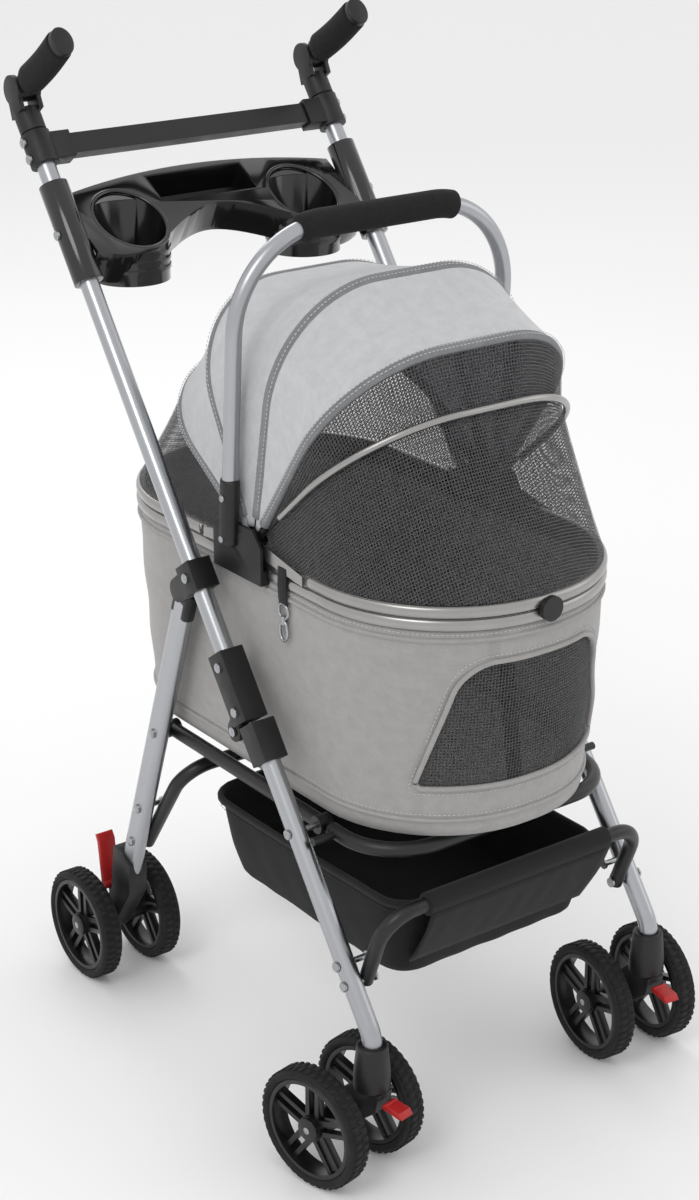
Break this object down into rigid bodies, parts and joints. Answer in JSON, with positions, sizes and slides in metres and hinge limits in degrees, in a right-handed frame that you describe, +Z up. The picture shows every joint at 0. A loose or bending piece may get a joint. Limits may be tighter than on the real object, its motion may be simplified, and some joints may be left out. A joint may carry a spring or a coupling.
{
  "type": "pet stroller",
  "caption": "Folding four-post pet stroller with a lift-off fabric carrier, bowed canopy, parent tray, hinged grips and sagging under-basket.",
  "frame": {"origin": "on the floor under the middle of the bounding box", "axes": "+Z up, the stroller rolls towards -Y, the middle plane is X = 0"},
  "size_m": [0.4824, 0.6444, 1.0314],
  "materials": {
    "tube": "satin",
    "black_plastic": "fine grain",
    "gloss_plastic": "gloss",
    "black_steel": "powder coat",
    "fastener": "zinc plated",
    "red_plastic": "smooth",
    "tyre": "matt tread",
    "rim": "satin",
    "foam": "fine cell foam",
    "tub_fabric": "woven",
    "canopy_fabric": "woven",
    "mesh": "open mesh",
    "basket_fabric": "woven",
    "pad_fabric": "quilted",
    "ring_metal": "champagne silver",
    "bow_piping": "binding"
  },
  "bodies": {
    "front_frame": {"front_legs": "tube", "lower_knuckles": "black_plastic", "front_hoop": "black_steel", "support_hoop": "black_steel", "caster_housings": "black_plastic", "frame_rivets": "fastener", "basket": "basket_fabric"},
    "push_handle": {"push_tubes": "tube", "push_tube_clamps": "black_plastic", "parent_tray": "gloss_plastic", "handle_tees": "black_plastic", "crossbar": "black_steel", "grip_sockets": "black_plastic", "handle_screws": "fastener"},
    "rear_frame": {"rear_legs": "tube", "rear_leg_caps": "black_plastic", "rear_hoop": "black_steel", "axle_housings": "black_plastic", "rear_rivets": "fastener"},
    "side_links": {"side_links": "black_steel"},
    "carrier": {"tub": "tub_fabric", "window_mesh": "mesh", "floor_pad": "pad_fabric", "lower_ring": "ring_metal", "side_brackets": "black_plastic", "main_bow": "bow_piping", "canopy_hood": "canopy_fabric", "canopy_crown": "canopy_fabric", "canopy_rear": "canopy_fabric", "canopy_rear_mesh": "mesh", "front_mesh_high": "mesh", "front_mesh_low": "mesh"},
    "carry_handle": {"carry_handle": "tube", "carry_foam": "foam"},
    "ring_latch": {"ring_latch": "black_plastic"},
    "snap_hook": {"snap_hook": "fastener"},
    "bow_front_high": {"bow_front_high": "bow_piping"},
    "bow_front_low": {"bow_front_low": "ring_metal"},
    "upper_ring_front": {"upper_ring_front": "ring_metal"},
    "bow_rear_high": {"bow_rear_high": "bow_piping"},
    "bow_rear_low": {"bow_rear_low": "bow_piping"},
    "upper_ring_rear": {"upper_ring_rear": "ring_metal"},
    "caster_left": {"caster_fork_left": "black_plastic"},
    "front_wheels_left": {"front_left_tyres": "tyre", "front_left_rims": "rim"},
    "caster_lock_left": {"caster_lock_left": "red_plastic"},
    "rear_wheels_left": {"rear_left_tyres": "tyre", "rear_left_rims": "rim"},
    "brake_left": {"brake_lever_left": "red_plastic"},
    "knuckle_latch_left": {"knuckle_latch_left": "black_plastic"},
    "grip_left": {"grip_left": "foam"},
    "caster_right": {"caster_fork_right": "black_plastic"},
    "front_wheels_right": {"front_right_tyres": "tyre", "front_right_rims": "rim"},
    "caster_lock_right": {"caster_lock_right": "red_plastic"},
    "rear_wheels_right": {"rear_right_tyres": "tyre", "rear_right_rims": "rim"},
    "brake_right": {"brake_lever_right": "red_plastic"},
    "knuckle_latch_right": {"knuckle_latch_right": "black_plastic"},
    "grip_right": {"grip_right": "foam"}
  },
  "joints": [
    {"name": "frame_fold", "type": "hinge", "parent": "front_frame", "child": "push_handle", "pos_m": [0, -0.057, 0.395], "axis": [1, 0, 0], "range_deg": [-130, 0], "deforming": ["basket"]},
    {"name": "rear_leg_fold", "type": "hinge", "parent": "push_handle", "child": "rear_frame", "pos_m": [0, 0.05073, 0.50585], "axis": [1, 0, 0], "range_deg": [-1, 91.03], "deforming": ["basket"]},
    {"name": "side_link_fold", "type": "hinge", "parent": "front_frame", "child": "side_links", "pos_m": [0, -0.15185, 0.324], "axis": [1, 0, 0], "range_deg": [-81.7, 1]},
    {"name": "caster_swivel_left", "type": "hinge", "parent": "front_frame", "child": "caster_left", "pos_m": [-0.177, -0.272, 0.104], "axis": [0, 0, 1], "continuous": true},
    {"name": "front_wheel_spin_left", "type": "hinge", "parent": "caster_left", "child": "front_wheels_left", "pos_m": [-0.18416, -0.23519, 0.062], "axis": [0.9816, 0.1908, 0], "continuous": true},
    {"name": "caster_lock_press_left", "type": "hinge", "parent": "caster_left", "child": "caster_lock_left", "pos_m": [-0.17261, -0.29458, 0.094], "axis": [0.9816, 0.1908, 0], "range_deg": [0, 15]},
    {"name": "rear_wheel_spin_left", "type": "hinge", "parent": "rear_frame", "child": "rear_wheels_left", "pos_m": [-0.1635, 0.221, 0.062], "axis": [1, 0, 0], "continuous": true},
    {"name": "brake_press_left", "type": "hinge", "parent": "rear_frame", "child": "brake_left", "pos_m": [-0.1635, 0.228, 0.096], "axis": [1, 0, 0], "range_deg": [-22, 0]},
    {"name": "knuckle_latch_press_left", "type": "hinge", "parent": "push_handle", "child": "knuckle_latch_left", "pos_m": [-0.171, -0.0465, 0.41456], "axis": [1, 0, 0], "range_deg": [-20, 0], "stiffness_Nm_per_rad": 0.05},
    {"name": "grip_turn_left", "type": "hinge", "parent": "push_handle", "child": "grip_left", "pos_m": [-0.177, 0.31166, 0.96026], "axis": [1, 0, 0], "range_deg": [-60, 30]},
    {"name": "caster_swivel_right", "type": "hinge", "parent": "front_frame", "child": "caster_right", "pos_m": [0.177, -0.272, 0.104], "axis": [0, 0, 1], "continuous": true},
    {"name": "front_wheel_spin_right", "type": "hinge", "parent": "caster_right", "child": "front_wheels_right", "pos_m": [0.18027, -0.23464, 0.062], "axis": [0.9962, -0.0872, 0], "continuous": true},
    {"name": "caster_lock_press_right", "type": "hinge", "parent": "caster_right", "child": "caster_lock_right", "pos_m": [0.175, -0.29491, 0.094], "axis": [0.9962, -0.0872, 0], "range_deg": [0, 15]},
    {"name": "rear_wheel_spin_right", "type": "hinge", "parent": "rear_frame", "child": "rear_wheels_right", "pos_m": [0.1635, 0.221, 0.062], "axis": [1, 0, 0], "continuous": true},
    {"name": "brake_press_right", "type": "hinge", "parent": "rear_frame", "child": "brake_right", "pos_m": [0.1635, 0.228, 0.096], "axis": [1, 0, 0], "range_deg": [-22, 0]},
    {"name": "knuckle_latch_press_right", "type": "hinge", "parent": "push_handle", "child": "knuckle_latch_right", "pos_m": [0.171, -0.0465, 0.41456], "axis": [1, 0, 0], "range_deg": [-20, 0], "stiffness_Nm_per_rad": 0.05},
    {"name": "grip_turn_right", "type": "hinge", "parent": "push_handle", "child": "grip_right", "pos_m": [0.177, 0.31166, 0.96026], "axis": [1, 0, 0], "range_deg": [-60, 30]},
    {"name": "carrier_lift_off", "type": "slide", "parent": "front_frame", "child": "carrier", "axis": [0, -0.5, 0.866], "range_m": [0, 0.25]},
    {"name": "front_high_bow_turn", "type": "hinge", "parent": "carrier", "child": "bow_front_high", "pos_m": [0, -0.046, 0.58], "axis": [1, 0, 0], "range_deg": [-15, 0], "deforming": ["canopy_hood"]},
    {"name": "front_low_bow_turn", "type": "hinge", "parent": "bow_front_high", "child": "bow_front_low", "pos_m": [0, -0.046, 0.58], "axis": [1, 0, 0], "range_deg": [-4.5, 0], "deforming": ["front_mesh_high"]},
    {"name": "front_ring_turn", "type": "hinge", "parent": "bow_front_low", "child": "upper_ring_front", "pos_m": [0, -0.046, 0.58], "axis": [1, 0, 0], "range_deg": [-32.5, 0], "deforming": ["front_mesh_low"]},
    {"name": "rear_high_bow_turn", "type": "hinge", "parent": "carrier", "child": "bow_rear_high", "pos_m": [0, -0.046, 0.58], "axis": [1, 0, 0], "range_deg": [0, 29], "deforming": ["canopy_crown"]},
    {"name": "rear_low_bow_turn", "type": "hinge", "parent": "bow_rear_high", "child": "bow_rear_low", "pos_m": [0, -0.046, 0.58], "axis": [1, 0, 0], "range_deg": [0, 20], "deforming": ["canopy_rear"]},
    {"name": "rear_ring_turn", "type": "hinge", "parent": "bow_rear_low", "child": "upper_ring_rear", "pos_m": [0, -0.046, 0.58], "axis": [1, 0, 0], "range_deg": [0, 24], "deforming": ["canopy_rear_mesh"]},
    {"name": "carry_handle_swing", "type": "hinge", "parent": "carrier", "child": "carry_handle", "pos_m": [0, -0.022, 0.58], "axis": [1, 0, 0], "range_deg": [-15, 60]},
    {"name": "ring_latch_press", "type": "slide", "parent": "carrier", "child": "ring_latch", "axis": [0, 1, 0], "range_m": [0, 0.003], "stiffness_N_per_m": 200, "springref_m": -0.002},
    {"name": "snap_hook_swing", "type": "hinge", "parent": "carrier", "child": "snap_hook", "pos_m": [-0.1518, -0.098, 0.5425], "axis": [0, 1, 0], "range_deg": [0, 50]}
  ],
  "couplings": [
    {"joint": "rear_leg_fold", "follows": "frame_fold", "ratio": -0.69258},
    {"joint": "side_link_fold", "follows": "frame_fold", "ratio": 0.62074},
    {"joint": "front_low_bow_turn", "follows": "front_high_bow_turn", "ratio": 0.3},
    {"joint": "front_ring_turn", "follows": "front_high_bow_turn", "ratio": 2.166},
    {"joint": "rear_low_bow_turn", "follows": "rear_high_bow_turn", "ratio": 0.6896},
    {"joint": "rear_ring_turn", "follows": "rear_high_bow_turn", "ratio": 0.8275}
  ]
}
